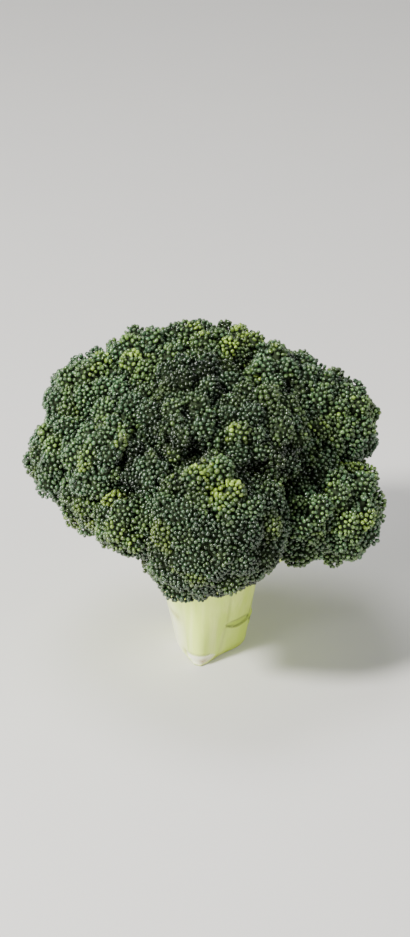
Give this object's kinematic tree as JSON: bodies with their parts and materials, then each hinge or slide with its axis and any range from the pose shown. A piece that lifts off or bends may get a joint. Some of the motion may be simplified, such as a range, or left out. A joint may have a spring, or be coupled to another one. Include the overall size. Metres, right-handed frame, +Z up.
{
  "type": "broccoli head",
  "caption": "Fresh broccoli head standing on its cut stalk: a thick pale stem divides into branches, each ending in a tight dome of dark green buds.",
  "frame": {"origin": "a point near the middle of the flat cut end of the stalk, on that face", "axes": "+Z up along the stalk to the crown, -Y towards the viewer of the picture, +X to that viewer's right"},
  "size_m": [0.1595, 0.1507, 0.1457],
  "materials": {
    "stalk": "fresh pale green stem skin, smooth and faintly waxy, with a moist paler cut face",
    "buds": "tight closed flower buds, dark bluish green with yellow-green patches, waxy and softly shining"
  },
  "bodies": {
    "root": {"stalk": "stalk", "floret_front": "buds", "floret_front_right": "buds", "floret_right_low": "buds", "floret_right": "buds", "floret_right_high": "buds", "floret_right_back": "buds", "floret_right_mid": "buds", "floret_top_right": "buds", "floret_top": "buds", "floret_top_left": "buds", "floret_crest": "buds", "floret_left_high": "buds", "floret_left_top": "buds", "floret_left": "buds", "floret_left_low": "buds", "floret_left_mid": "buds", "floret_left_back": "buds", "floret_front_left_low": "buds", "floret_front_left": "buds", "floret_front_high": "buds", "floret_front_right_high": "buds", "floret_back_left": "buds", "floret_back": "buds", "floret_back_high": "buds"}
  },
  "joints": []
}
